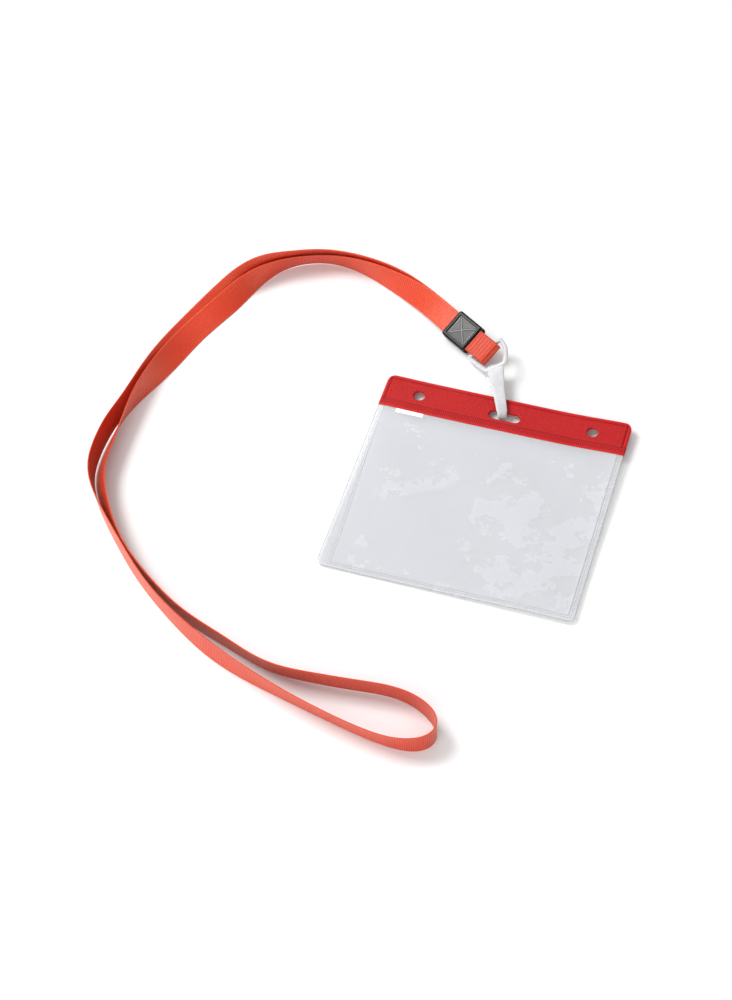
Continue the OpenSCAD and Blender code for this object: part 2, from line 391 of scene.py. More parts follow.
# --------------------------------------------------------------- shader groups
class Shader:
    """Short hand for wiring one node tree."""

    def __init__(self, tree: bpy.types.NodeTree) -> None:
        """Keep the tree.

        Args:
            tree: The node tree that is filled.
        """
        self.tree = tree

    def node(self, kind: str, links: dict | None = None, **settings: object) -> bpy.types.Node:
        """Add a node.

        Args:
            kind: Node type name.
            links: Input name or index to a value or an output socket.
            **settings: Node properties.

        Returns:
            The node.
        """
        n = self.tree.nodes.new(kind)
        for key, value in settings.items():
            setattr(n, key, value)
        for key, value in (links or {}).items():
            if isinstance(value, bpy.types.NodeSocket):
                self.tree.links.new(value, n.inputs[key])
            else:
                n.inputs[key].default_value = value
        return n

    def math(self, op: str, a: object, b: object = 0.0, c: object = 0.0) -> bpy.types.NodeSocket:
        """Add a maths node.

        Args:
            op: Operation name.
            a: First value or socket.
            b: Second value or socket.
            c: Third value or socket.

        Returns:
            The value socket.
        """
        return self.node("ShaderNodeMath", {0: a, 1: b, 2: c}, operation=op).outputs[0]

    add = partialmethod(math, "ADD")
    sub = partialmethod(math, "SUBTRACT")
    mul = partialmethod(math, "MULTIPLY")
    mad = partialmethod(math, "MULTIPLY_ADD")
    most = partialmethod(math, "MAXIMUM")
    least = partialmethod(math, "MINIMUM")
    size = partialmethod(math, "ABSOLUTE")

    def gap(self, a: object, b: object) -> bpy.types.NodeSocket:
        """How far two values lie apart, never negative.

        Args:
            a: First value.
            b: Second value.

        Returns:
            The value socket.
        """
        return self.size(self.sub(a, b))

    def feed(self, node: bpy.types.Node, name: str, value: bpy.types.NodeSocket) -> None:
        """Link a socket into a named input of a node.

        Args:
            node: The node that takes the value.
            name: Name of its input.
            value: The socket that gives it.
        """
        self.tree.links.new(value, node.inputs[name])

    def blend(self, mask: object, a: object, b: object) -> bpy.types.NodeSocket:
        """Mix two colours by a mask.

        Args:
            mask: Mixing value or socket.
            a: Colour at nought.
            b: Colour at one.

        Returns:
            The colour socket.
        """
        n = self.node("ShaderNodeMix", {0: mask, 6: a, 7: b}, data_type="RGBA")
        return n.outputs[2]

    def span(self, value: object, lo: float, hi: float, out_lo: float = 0.0,
             out_hi: float = 1.0) -> bpy.types.NodeSocket:
        """Map one range of values onto another, clamped and eased.

        Args:
            value: Socket to map.
            lo: Value that gives the first result.
            hi: Value that gives the second result.
            out_lo: First result.
            out_hi: Second result.

        Returns:
            The value socket.
        """
        n = self.node("ShaderNodeMapRange", {0: value, 1: lo, 2: hi, 3: out_lo, 4: out_hi},
                      interpolation_type="SMOOTHSTEP")
        return n.outputs[0]

    def noise(self, where: object, scale: float, detail: float = 2.0,
              rough: float = 0.5) -> bpy.types.NodeSocket:
        """Add cloudy noise.

        Args:
            where: Coordinate socket.
            scale: Cells per metre.
            detail: Octaves.
            rough: Strength of the finer octaves.

        Returns:
            The value socket.
        """
        n = self.node("ShaderNodeTexNoise",
                      {"Vector": where, "Scale": scale, "Detail": detail, "Roughness": rough})
        return n.outputs["Fac"]


def new_group(name: str, inputs: list[tuple[str, str]], outputs: list[tuple[str, str]]
              ) -> tuple[bpy.types.NodeTree, Shader, bpy.types.Node, bpy.types.Node]:
    """Start a shader node group.

    Args:
        name: Group name.
        inputs: Pairs of socket name and socket type.
        outputs: Pairs of socket name and socket type.

    Returns:
        The tree, its shader helper, its input node and its output node.
    """
    tree = bpy.data.node_groups.new(name, "ShaderNodeTree")
    for label, kind in inputs:
        tree.interface.new_socket(label, in_out="INPUT", socket_type=kind)
    for label, kind in outputs:
        tree.interface.new_socket(label, in_out="OUTPUT", socket_type=kind)
    s = Shader(tree)
    return tree, s, s.node("NodeGroupInput"), s.node("NodeGroupOutput")


def handling_group() -> bpy.types.NodeTree:
    """Make the group that gives every surface slight handling marks.

    Returns:
        A group from a place to a soft smudge mask and a fine speck mask.
    """
    tree, s, gin, gout = new_group("handling", [("Place", "NodeSocketVector")],
                                   [("Smudge", "NodeSocketFloat"), ("Speck", "NodeSocketFloat")])
    smudge = s.span(s.noise(gin.outputs["Place"], 45.0, 4.0, 0.6), 0.42, 0.72)
    speck = s.span(s.noise(gin.outputs["Place"], 2600.0, 1.0), 0.68, 0.76)
    s.tree.links.new(smudge, gout.inputs["Smudge"])
    s.tree.links.new(speck, gout.inputs["Speck"])
    return tree


@dataclass
class Finishes:
    """Every material of the object, made once and shared."""

    handling: bpy.types.NodeTree = field(default_factory=handling_group)
    made: dict[str, bpy.types.Material] = field(default_factory=dict)

    def start(self, name: str) -> tuple[bpy.types.Material, Shader, bpy.types.Node, object, Shader]:
        """Start a material with its shader and handling marks.

        Args:
            name: Material name.

        Returns:
            The material, shader helper, surface node, place socket and marks node.
        """
        mat = bpy.data.materials.new(name)
        mat.use_nodes = True
        mat.node_tree.nodes.clear()
        s = Shader(mat.node_tree)
        out = s.node("ShaderNodeOutputMaterial")
        bsdf = s.node("ShaderNodeBsdfPrincipled")
        s.tree.links.new(bsdf.outputs[0], out.inputs[0])
        place = s.node("ShaderNodeTexCoord").outputs["Object"]
        marks = s.node("ShaderNodeGroup", node_tree=self.handling)
        s.tree.links.new(place, marks.inputs["Place"])
        self.made[name] = mat
        return mat, s, bsdf, place, marks

    def ribbon(self, name: str, glow: float, rib_pitch: float = 0.0009) -> bpy.types.Material:
        """Cross-ribbed woven ribbon with brighter selvages, painted shade in its rib grooves and painted
        light on the rib crests.

        Args:
            name: Material name.
            glow: Strength of the fabric's pale sheen.
            rib_pitch: Distance between two cross ribs in metres.

        Returns:
            The material.
        """
        mat, s, bsdf, place, marks = self.start(name)
        run = s.node("ShaderNodeUVMap", uv_map="run").outputs[0]
        part = s.node("ShaderNodeSeparateXYZ", {0: run})
        along, across = part.outputs[0], part.outputs[1]
        shift = s.mul(s.noise(place, 380.0, 2.0), 0.0007)
        rib = s.math("SINE", s.mul(s.add(along, shift), math.tau / rib_pitch))
        thread = s.math("SINE", s.mul(across, math.tau / 0.00046))
        edge = s.span(s.size(across), 0.0046, 0.0052)
        body = s.mad(thread, 0.22, rib)
        selvage = s.math("SINE", s.mul(along, math.tau / 0.00062))
        height = s.node("ShaderNodeMix", {0: edge, 2: body, 3: selvage}, data_type="FLOAT").outputs[0]
        depth = RIB_DEPTH * rib_pitch ** 2
        bump = s.node("ShaderNodeBump", {"Height": height, "Distance": depth, "Strength": 0.9})
        # painted shade and light on the cross ribs: the base colour is darker in the rib grooves and
        # lighter on the crests
        groove = s.span(height, -1.0, 0.6)
        base = s.blend(groove, (0.42, 0.009, 0.005, 1), (0.66, 0.040, 0.014, 1))
        fade = s.blend(s.mul(marks.outputs["Smudge"], 0.25), base, (0.70, 0.055, 0.026, 1))
        rim = s.blend(s.mul(edge, 0.4), fade, (0.74, 0.065, 0.028, 1))
        fuzz = s.blend(s.mul(marks.outputs["Speck"], 0.25), rim, (0.9, 0.35, 0.2, 1))
        s.feed(bsdf, "Base Color", fuzz)
        s.feed(bsdf, "Normal", bump.outputs[0])
        bsdf.inputs["Roughness"].default_value = 0.36
        bsdf.inputs["Sheen Weight"].default_value = glow
        bsdf.inputs["Sheen Roughness"].default_value = 0.35
        bsdf.inputs["Sheen Tint"].default_value = (1.0, 0.50, 0.25, 1)
        bsdf.inputs["Specular IOR Level"].default_value = 0.9
        bsdf.inputs["Specular Tint"].default_value = (1.0, 0.62, 0.34, 1)
        bsdf.inputs["Coat Weight"].default_value = 0.25
        bsdf.inputs["Coat Roughness"].default_value = 0.42
        bsdf.inputs["Coat Tint"].default_value = (1.0, 0.86, 0.70, 1)
        return mat

    def vinyl(self, name: str, smooth_back: bool) -> bpy.types.Material:
        """Leather-grain vinyl with a smooth bead and glossy pressed ribs, painted shade in its rib
        valleys, weld step and bead crease, and a painted side light that makes the left end a little
        lighter.

        Args:
            name: Material name.
            smooth_back: Whether the whole strip is plain, as on its back.

        Returns:
            The material.
        """
        mat, s, bsdf, place, marks = self.start(name)
        run = s.node("ShaderNodeUVMap", uv_map="run").outputs[0]
        part = s.node("ShaderNodeSeparateXYZ", {0: run})
        x, y = part.outputs[0], part.outputs[1]
        panel = s.mul(s.span(y, 0.0400, 0.0408),
                      s.mul(s.span(y, 0.0524, 0.0518), s.span(s.size(x), 0.0534, 0.0528)))
        warp = s.node("ShaderNodeVectorMath", {0: place}, operation="ADD")
        wobble = s.node("ShaderNodeTexNoise", {"Vector": place, "Scale": 700.0, "Detail": 2.0})
        tiny = s.node("ShaderNodeVectorMath", {0: wobble.outputs["Color"], 1: (0.0008, 0.0008, 0.0)},
                      operation="MULTIPLY")
        s.tree.links.new(tiny.outputs[0], warp.inputs[1])
        cells = s.node("ShaderNodeTexVoronoi", {"Vector": warp.outputs[0], "Scale": 1250.0},
                       feature="DISTANCE_TO_EDGE")
        pebble = s.span(cells.outputs["Distance"], 0.0, 0.22)
        fine = s.noise(place, 4200.0, 2.0)
        grain = s.mad(fine, 0.35, pebble)
        amount = 0.15 if smooth_back else 1.0
        relief = s.mul(grain, s.mad(panel, 0.9 * amount, 0.1))
        bump = s.node("ShaderNodeBump", {"Height": relief, "Distance": 0.00012, "Strength": 0.9})
        # painted side light: the vinyl is slightly lighter and warmer at its left end, where the key light
        # falls, and darker towards the right
        side_light_ramp = s.span(x, -0.055, 0.055)
        tone = s.blend(side_light_ramp, (0.49, 0.014, 0.014, 1), (0.48, 0.007, 0.009, 1))
        pit = s.mul(s.sub(1.0, pebble), s.mul(panel, 0.35))
        deep = s.blend(pit, tone, (0.20, 0.004, 0.008, 1))
        # painted shade: dark lines in the pressed rib valleys, along the weld step at the weld line and in
        # the bead crease
        teeth = s.math("COSINE", s.mul(x, math.tau / 0.00095))
        strip = s.mul(s.span(y, 0.0367, 0.0370), s.span(y, 0.0398, 0.0395))
        rib_valley_shade = s.mul(s.span(teeth, 0.2, -0.7), strip)
        step = s.span(s.gap(y, 0.0400), 0.0004, 0.0001)
        border = s.least(s.sub(0.055, s.size(x)), s.sub(0.054, y))
        crease = s.mul(s.span(s.gap(border, 0.0018), 0.0004, 0.0001), s.span(y, 0.0395, 0.0402))
        crevice_shade = s.most(rib_valley_shade, s.most(step, crease))
        shaded_crevices = s.blend(s.mul(crevice_shade, 0.0 if smooth_back else 0.8), deep, (0.14, 0.002, 0.004, 1))
        worn = s.blend(s.mul(marks.outputs["Smudge"], 0.12), shaded_crevices, (0.58, 0.028, 0.028, 1))
        s.feed(bsdf, "Base Color", worn)
        s.feed(bsdf, "Normal", bump.outputs[0])
        gloss = s.mad(marks.outputs["Smudge"], 0.10,
                       s.mad(panel, 0.08, 0.33))
        s.feed(bsdf, "Roughness", gloss)
        bsdf.inputs["Specular Tint"].default_value = (1.0, 0.45, 0.42, 1)
        bsdf.inputs["Specular IOR Level"].default_value = 0.42
        bsdf.inputs["Subsurface Weight"].default_value = 0.08
        bsdf.inputs["Subsurface Radius"].default_value = (0.0012, 0.0003, 0.0002)
        bsdf.inputs["Subsurface Scale"].default_value = 0.6
        return mat

    def film(self, name: str, body: float) -> bpy.types.Material:
        """Clear soft film with weld lines near its edges, pale patches where the two films cling and a
        painted glint just below the header.

        Args:
            name: Material name.
            body: How much of the film's own grey shows.

        Returns:
            The material.
        """
        mat, s, bsdf, place, marks = self.start(name)
        big = s.noise(place, 66.0, 4.0, 0.70)
        fine = s.noise(place, 170.0, 3.0, 0.6)
        field_ = s.mad(fine, 0.25, big)
        spot = s.node("ShaderNodeSeparateXYZ", {0: place})
        across, up = spot.outputs[0], spot.outputs[1]
        right = s.span(across, -0.02, 0.03, -0.06, 0.03)
        upper = s.span(up, 0.005, 0.036, 0.0, -0.07)
        field_ = s.add(s.add(field_, right), upper)
        cling = s.span(field_, CLING_FROM, CLING_TO)
        halo = s.sub(s.span(field_, HALO_FROM, CLING_FROM), cling)
        streak = s.add(up, s.mul(across, -0.55))
        lane_width = s.span(s.gap(streak, 0.011), 0.006, 0.002)
        lane_start = s.span(across, -0.046, -0.036)
        lane_end = s.span(across, -0.006, -0.016)
        lane = s.mul(lane_width, s.mul(lane_start, lane_end))
        cling = s.most(cling, s.mul(lane, s.span(fine, 0.47, 0.49)))
        grey = s.blend(cling, (0.73, 0.74, 0.775, 1), (0.752, 0.762, 0.798, 1))
        haze = s.blend(s.mul(marks.outputs["Smudge"], 0.25), grey, (0.70, 0.71, 0.745, 1))
        lined = s.blend(s.mul(halo, 0.5), haze, (0.86, 0.87, 0.90, 1))
        run = s.node("ShaderNodeUVMap", uv_map="run").outputs[0]
        part = s.node("ShaderNodeSeparateXYZ", {0: run})
        flat_x, flat_y = part.outputs[0], part.outputs[1]
        half, low_edge = (HALF_WIDTH - FILM_INSET) * MM, -LOW_EDGE * MM
        inset = s.span(flat_y, 0.036, -low_edge, 0.0, 0.0030)
        left = s.sub(s.add(flat_x, half), inset)
        side = s.least(s.sub(half, flat_x), left)
        low = s.add(flat_y, low_edge)
        near = s.least(side, low)
        edge = s.least(s.sub(half, s.size(flat_x)), low)
        rim = s.span(edge, 0.00045, 0.00015)
        weld_a = s.span(s.gap(near, 0.0017), 0.00028, 0.00008)
        weld_b = s.span(s.gap(near, 0.0027), 0.00022, 0.00006)
        lines = s.most(rim, s.most(s.mul(weld_a, 0.6), weld_b))
        edged = s.blend(s.mul(lines, 0.75), lined, (0.40, 0.43, 0.41, 1))
        pane = s.span(near, 0.0016, 0.0028, 0.75, 1.0)
        full = s.mad(cling, 0.06, body)
        # painted glint: an opaque near-white patch just below the header, where the front film bends up to
        # the weld, stands in for a specular reflection
        glint_x = s.span(s.size(s.add(flat_x, 0.0405)), 0.0064, 0.0060)
        glint_y = s.span(s.gap(flat_y, 0.0349), 0.0013, 0.0011)
        painted_glint = s.mul(glint_x, glint_y)
        s.feed(bsdf, "Base Color", s.blend(painted_glint, edged, (0.97, 0.97, 0.98, 1)))
        clear = s.most(painted_glint, s.mul(full, s.most(pane, lines)))
        s.feed(bsdf, "Alpha", clear)
        wave = s.noise(place, 60.0, 2.0)
        bump = s.node("ShaderNodeBump", {"Height": wave, "Distance": 0.0006, "Strength": 0.35})
        step = s.node("ShaderNodeBump",
                      {"Height": cling, "Distance": 0.00005, "Strength": 0.4, "Normal": bump.outputs[0]})
        s.feed(bsdf, "Normal", step.outputs[0])
        s.feed(bsdf, "Roughness", s.mad(marks.outputs["Smudge"], 0.10, 0.10))
        bsdf.inputs["IOR"].default_value = 1.45
        return mat

    def milky(self, name: str) -> bpy.types.Material:
        """Milky moulded plastic with soft flow streaks.

        Args:
            name: Material name.

        Returns:
            The material.
        """
        mat, s, bsdf, place, marks = self.start(name)
        flow = s.noise(place, 160.0, 3.0, 0.55)
        tone = s.blend(s.span(flow, 0.35, 0.7), (0.55, 0.55, 0.57, 1), (0.66, 0.66, 0.675, 1))
        worn = s.blend(s.mul(marks.outputs["Speck"], 0.2), tone, (0.66, 0.66, 0.66, 1))
        s.feed(bsdf, "Base Color", worn)
        bump = s.node("ShaderNodeBump", {"Height": flow, "Distance": 0.0002, "Strength": 0.25})
        s.feed(bsdf, "Normal", bump.outputs[0])
        s.feed(bsdf, "Roughness", s.mad(marks.outputs["Smudge"], 0.12, 0.24))
        bsdf.inputs["Subsurface Weight"].default_value = 0.25
        bsdf.inputs["Subsurface Radius"].default_value = (0.003, 0.003, 0.003)
        bsdf.inputs["Subsurface Scale"].default_value = 0.8
        bsdf.inputs["Transmission Weight"].default_value = 0.15
        return mat

    def black(self, name: str) -> bpy.types.Material:
        """Satin black moulded plastic, greyer on the sunk face, with painted highlights along its crossed
        ridges and frame.

        Args:
            name: Material name.

        Returns:
            The material.
        """
        mat, s, bsdf, place, marks = self.start(name)
        run = s.node("ShaderNodeUVMap", uv_map="run").outputs[0]
        part = s.node("ShaderNodeSeparateXYZ", {0: run})
        lx = s.size(part.outputs[0])
        ly = s.size(part.outputs[1])
        face = s.mul(s.span(lx, 0.0049, 0.0047), s.span(ly, 0.0044, 0.0042))
        frost = s.noise(place, 5200.0, 2.0)
        dark = s.blend(frost, (0.004, 0.004, 0.005, 1), (0.010, 0.010, 0.011, 1))
        pale = s.blend(frost, (0.028, 0.028, 0.027, 1), (0.085, 0.085, 0.082, 1))
        fx, fy = s.math("DIVIDE", lx, 0.0054), s.math("DIVIDE", ly, 0.0049)
        # painted highlight: pale lines along the crossed ridges of the sunk face and along its frame
        cross = s.span(s.gap(fx, fy), 0.085, 0.015)
        reach = s.most(fx, fy)
        line = s.span(s.gap(reach, 0.95), 0.026, 0.014)
        ridge_highlight_cross = s.mul(cross, s.mul(s.span(reach, 0.90, 0.84), 0.55))
        ridges = s.most(line, ridge_highlight_cross)
        plain = s.blend(face, dark, pale)
        s.feed(bsdf, "Base Color", s.blend(s.mul(ridges, 0.9), plain, (0.42, 0.42, 0.40, 1)))
        shine = s.mad(s.most(face, line), 0.38, 0.12)
        s.feed(bsdf, "Specular IOR Level", shine)
        bump = s.node("ShaderNodeBump", {"Height": frost, "Distance": 0.00002, "Strength": 0.5})
        s.feed(bsdf, "Normal", bump.outputs[0])
        s.feed(bsdf, "Roughness",
               s.mad(face, 0.22,
                      s.mad(marks.outputs["Smudge"], 0.1, 0.2)))
        return mat

    def floor(self) -> bpy.types.Material:
        """Plain pale floor.

        Returns:
            The material.
        """
        mat, s, bsdf, _, marks = self.start("floor_pale")
        tone = s.blend(marks.outputs["Smudge"], (0.83, 0.83, 0.83, 1), (0.835, 0.835, 0.835, 1))
        s.feed(bsdf, "Base Color", tone)
        bsdf.inputs["Roughness"].default_value = 0.9
        bsdf.inputs["Specular IOR Level"].default_value = 0.1
        return mat


def finish_piece(obj: bpy.types.Object, mat: bpy.types.Material, body: Body, slot: Slot,
                 *nodes: str) -> bpy.types.Object:
    """Give a piece its material and body, and hide the CAD nodes it stands for.

    Args:
        obj: The piece.
        mat: Its material.
        body: The body it moves with.
        slot: Its material slot; not used.
        *nodes: CAD nodes it replaces.

    Returns:
        The same piece.
    """
    obj.data.materials.append(mat)
    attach(obj, body.value)
    if nodes:
        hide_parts(*nodes)
    return obj


# ---------------------------------------------------------------------- ribbon
@dataclass(frozen=True)
class RibbonMaker:
    """The flat woven ribbon: the long neck loop and the short hook loop."""

    width: float = 11.0
    thick: float = 0.56
    pitch: float = 0.75

    def section(self) -> tuple[Array, Array]:
        """Ring of the ribbon: a flat bar with fuller selvages.

        Returns:
            Offsets across and through the ribbon.
        """
        half = self.width / 2
        w = np.array([-1.0, -0.97, -0.9, -0.8, -0.5, 0.0, 0.5, 0.8, 0.9, 0.97, 1.0]) * half
        t = np.array([0.45, 0.9, 1.0, 0.86, 0.86, 0.86, 0.86, 0.86, 1.0, 0.9, 0.45]) * self.thick / 2
        return np.r_[w, w[::-1]], np.r_[t, -t[::-1]]

    def sweep(self, name: str, centre: Array, wide: Array, run: Array) -> bpy.types.Object:
        """Sweep the section along a centreline.

        Args:
            name: Object name.
            centre: Centreline points.
            wide: Width direction at each point.
            run: Run length at each point.

        Returns:
            The new object.
        """
        along = unit(np.gradient(centre, axis=0))
        wide = unit(wide - along * np.sum(wide * along, 1, keepdims=True))
        face = np.cross(along, wide)
        w, t = self.section()
        rings = centre[:, None] + wide[:, None] * w[None, :, None] + face[:, None] * t[None, :, None]
        return outward(loft(name, rings, run, w))

    def neck(self) -> tuple[bpy.types.Object, Array]:
        """The long neck loop.

        Returns:
            The object and its centreline in millimetres.
        """
        rows, _ = even(catmull(ROUTE, 24), self.pitch)
        rows = soften(rows, 14)
        rows, run = even(rows, self.pitch)
        centre = rows[:, :3]
        along = unit(np.gradient(centre, axis=0))
        left = unit(np.stack([-along[:, 1], along[:, 0], np.zeros(len(along))], 1))
        turn = np.radians(rows[:, 3])[:, None]
        wide = np.cos(turn) * left + np.sin(turn) * np.cross(along, left)
        return self.sweep("neck_ribbon_woven", centre, wide, run), centre

    def hook_loop(self, seat: "CrimpMaker") -> bpy.types.Object:
        """The short loop from the crimp round the ring's bar.

        Args:
            seat: The crimp, whose own frame the loop is drawn in.

        Returns:
            The new object.
        """
        r = 2.02
        nose = np.radians(np.linspace(-90, 90, 25))
        start, end = 7.3, 17.0
        flat = np.linspace(start, end, 14)[:-1]
        pinch = lambda u: 1 - 0.16 * (1 - smooth01((u - start) / 6.5))
        u = np.r_[flat, end + r * np.cos(nose), flat[::-1]]
        n = np.r_[-r * pinch(flat), r * np.sin(nose), (r * pinch(flat))[::-1]]
        line, run = even(np.stack([u, n, 0 * u], 1), 0.4)
        local = np.stack([line[:, 0], np.full(len(line), -0.1), line[:, 1]], 1)
        centre = seat.place(local)
        wide = np.tile(seat.place(np.array([[0, 1.0, 0]])) - seat.place(np.zeros((1, 3))),
                       (len(centre), 1))
        return self.sweep("hook_loop_woven", centre, wide, run)


# ----------------------------------------------------------------------- crimp
@dataclass(frozen=True)
class CrimpMaker:
    """The moulded crimp that holds the ribbon ends."""

    at: tuple[float, float, float] = (-30.0, 85.3, 5.7)
    turn: float = -33.0
    roll: float = 29.0
    length: float = 14.6
    width: float = 13.5
    shell: float = 2.7

    def place(self, p: Array) -> Array:
        """Move crimp points into the shared frame.

        Args:
            p: Points, along the ribbon, across it and out of its face.

        Returns:
            The points in the shared frame.
        """
        a, r = math.radians(self.turn), math.radians(self.roll)
        rx = np.array([[1, 0, 0], [0, math.cos(r), -math.sin(r)], [0, math.sin(r), math.cos(r)]])
        rz = np.array([[math.cos(a), -math.sin(a), 0], [math.sin(a), math.cos(a), 0], [0, 0, 1]])
        return p @ (rz @ rx).T + np.array(self.at)

    def shell_plate(self, name: str, grow: float, height: Callable[[Array, Array, Array], Array],
                    floor: Callable[[Array, Array, Array], Array]) -> bpy.types.Object:
        """One rounded shell as a heightfield plate.

        Args:
            name: Object name.
            grow: Extra half size.
            height: Upper surface.
            floor: Lower surface.

        Returns:
            The new object.
        """
        hx, hy, r = self.length / 2 + grow, self.width / 2 + grow, 1.1

        def distance(x: Array, y: Array) -> Array:
            qx, qy = np.abs(x) - hx + r, np.abs(y) - hy + r
            return np.hypot(np.maximum(qx, 0), np.maximum(qy, 0)) + np.minimum(np.maximum(qx, qy), 0) - r

        return Plate(name, (-hx, -hy), (hx, hy), (146, 134), distance, height, floor).build(self.place)

    def front(self) -> bpy.types.Object:
        """Upper shell with its sunk face and crossed ridges.

        Returns:
            The new object.
        """

        def top(x: Array, y: Array, inside: Array) -> Array:
            edge = np.clip(inside / 0.9, 0, 1)
            z = self.shell - 0.8 * (1 - np.sqrt(1 - (1 - edge) ** 2))
            fx, fy = np.abs(x) / 5.65, np.abs(y) / 5.0
            reach = np.maximum(fx, fy)
            sunk = smooth01((1 - reach) / 0.07)
            pyramid = 0.55 * np.clip(1 - reach / 0.93, 0, 1)
            ridge = 0.14 * np.exp(-((fx - fy) * 3.6 / 0.35) ** 2) * (reach < 0.93)
            frame_ = 0.12 * np.exp(-((reach - 0.965) * 5.3 / 0.18) ** 2)
            return z - sunk * (0.68 - pyramid - ridge) + frame_

        return self.shell_plate("crimp_upper_shell", 0.0, top, lambda x, y, d: 0.03 + 0 * x)

    def back(self) -> bpy.types.Object:
        """Lower shell, a little larger, with a parting groove.

        Returns:
            The new object.
        """

        def bottom(x: Array, y: Array, inside: Array) -> Array:
            edge = np.clip(inside / 0.8, 0, 1)
            return -self.shell + 0.7 * (1 - np.sqrt(1 - (1 - edge) ** 2))

        def top(x: Array, y: Array, inside: Array) -> Array:
            return 0.02 - 0.22 * np.exp(-(inside / 0.15) ** 2)

        return self.shell_plate("crimp_lower_shell", 0.12, top, bottom)


# ------------------------------------------------------------------------ hook
@dataclass(frozen=True)
class HookMaker:
    """The milky hook: ring, stem, leg and its springy gate."""

    axis: tuple[float, float] = (-1.0, 44.15)
    turn: float = 22.5
    ring_z: float = 7.1
    rise: float = math.tan(math.radians(24.8))

    def place(self, p: Array) -> Array:
        """Move hook points into the shared frame.

        Args:
            p: Points, across the hook, along it and up.

        Returns:
            The points in the shared frame.
        """
        a = math.radians(self.turn)
        rz = np.array([[math.cos(a), -math.sin(a), 0], [math.sin(a), math.cos(a), 0], [0, 0, 1]])
        return p @ rz.T + np.array([*self.axis, 0.0])

    def strap(self, name: str, rows: Array, roll: Array, pitch: float = 0.4) -> bpy.types.Object:
        """Sweep a rounded bar along a path that lies in one upright plane.

        Args:
            name: Object name.
            rows: Side, length, height, half width and half thickness per point.
            roll: Roll of the bar per point, degrees.
            pitch: Spacing of the rings.

        Returns:
            The new object.
        """
        rows, _ = even(catmull(np.column_stack([rows, roll]), 16), pitch)
        rows = soften(rows, 3)
        centre = rows[:, :3]
        along = unit(np.gradient(centre, axis=0))
        side = np.tile([1.0, 0.0, 0.0], (len(rows), 1))
        side = unit(side - along * np.sum(side * along, 1, keepdims=True))
        face = np.cross(along, side)
        roll_ = np.radians(rows[:, 5])[:, None]
        wide = np.cos(roll_) * side + np.sin(roll_) * face
        face = np.cross(along, wide)
        a = np.linspace(0, math.tau, 29)[:-1]
        cx = np.sign(np.cos(a)) * np.abs(np.cos(a)) ** 0.45
        cy = np.sign(np.sin(a)) * np.abs(np.sin(a)) ** 0.6
        tip = np.arange(len(rows))
        ease = np.sqrt(np.clip(np.minimum(tip, tip[::-1]) / 2.0 + 0.12, 0, 1))[:, None, None]
        rings = centre[:, None] + ease * (
            wide[:, None] * (rows[:, 3:4, None] * cx[None, :, None])
            + face[:, None] * (rows[:, 4:5, None] * cy[None, :, None]))
        return outward(loft(name, self.place(rings.reshape(-1, 3)).reshape(rings.shape)))

    def ring(self) -> bpy.types.Object:
        """The ring as one closed rounded bar.

        Returns:
            The new object.
        """
        flat = np.array([[-9.7, 36.0], [-8.9, 36.8], [-2.5, 38.0], [3.6, 39.15], [4.6, 38.6], [5.6, 34.4],
                         [5.6, 31.6], [4.5, 26.6], [3.2, 25.4], [-2.9, 25.0], [-4.4, 25.8], [-7.4, 31.2]])
        loop = np.vstack([flat[-2:], flat, flat[:3]])
        rows = catmull(loop, 14)[2 * 14:2 * 14 + len(flat) * 14]
        z = self.ring_z + rows[:, 0] * self.rise
        centre = np.column_stack([rows, z])
        along = unit(np.roll(centre, -1, 0) - np.roll(centre, 1, 0))
        up = unit(np.array([-self.rise, 0.0, 1.0]))
        out = np.cross(along, up)
        a = np.linspace(0, math.tau, 21)[:-1]
        lower = smooth01((33 - rows[:, 1]) / 6)[:, None, None]
        rings = centre[:, None] + out[:, None] * np.cos(a)[None, :, None] * (0.95 + 0.2 * lower) \
            + up * np.sin(a)[None, :, None] * 0.93
        return outward(loft("hook_ring", self.place(rings.reshape(-1, 3)).reshape(rings.shape), loop=True))

    def stem(self) -> bpy.types.Object:
        """Stem, drop through the slot and leg under the header, in one bar.

        Returns:
            The new object.
        """
        rows = np.array([
            [0.1, 26.6, 7.4, 3.7, 0.66],
            [0.05, 24.6, 7.0, 3.85, 0.8],
            [0.0, 19.0, 6.45, 3.35, 0.8],
            [0.0, 12.0, 5.75, 2.75, 0.78],
            [0.0, 5.0, 5.0, 2.45, 0.76],
            [0.0, 1.8, 4.62, 2.35, 0.74],
            [0.0, 0.25, 3.95, 2.0, 0.70],
            [0.0, 0.0, 2.6, 1.96, 0.70],
            [0.0, 0.35, 1.35, 1.96, 0.68],
            [0.0, 1.5, 0.87, 1.96, 0.62],
            [0.0, 5.0, 0.82, 1.9, 0.6],
            [0.0, 11.0, 0.84, 1.85, 0.6],
            [0.0, 16.6, 0.86, 1.6, 0.56]])
        roll = np.array([23.0, 21.0, 13.0, 6.0, 1.0, 0, 0, 0, 0, 0, 0, 0, 0])
        return self.strap("hook_stem_and_leg", rows, roll)

    def gate(self) -> bpy.types.Object:
        """The springy tongue.

        Returns:
            The new object.
        """
        rows = np.array([
            [-2.1, 23.8, 3.75, 2.55, 0.42],
            [-1.7, 21.3, 3.3, 2.5, 0.4],
            [-1.0, 18.4, 2.7, 2.0, 0.38],
            [-0.5, 16.8, 2.35, 1.7, 0.36],
            [-0.3, 15.6, 2.22, 1.45, 0.34]])
        return self.strap("hook_gate_tongue", rows, np.array([18.0, 14.0, 6.0, 2.0, 0.0]))


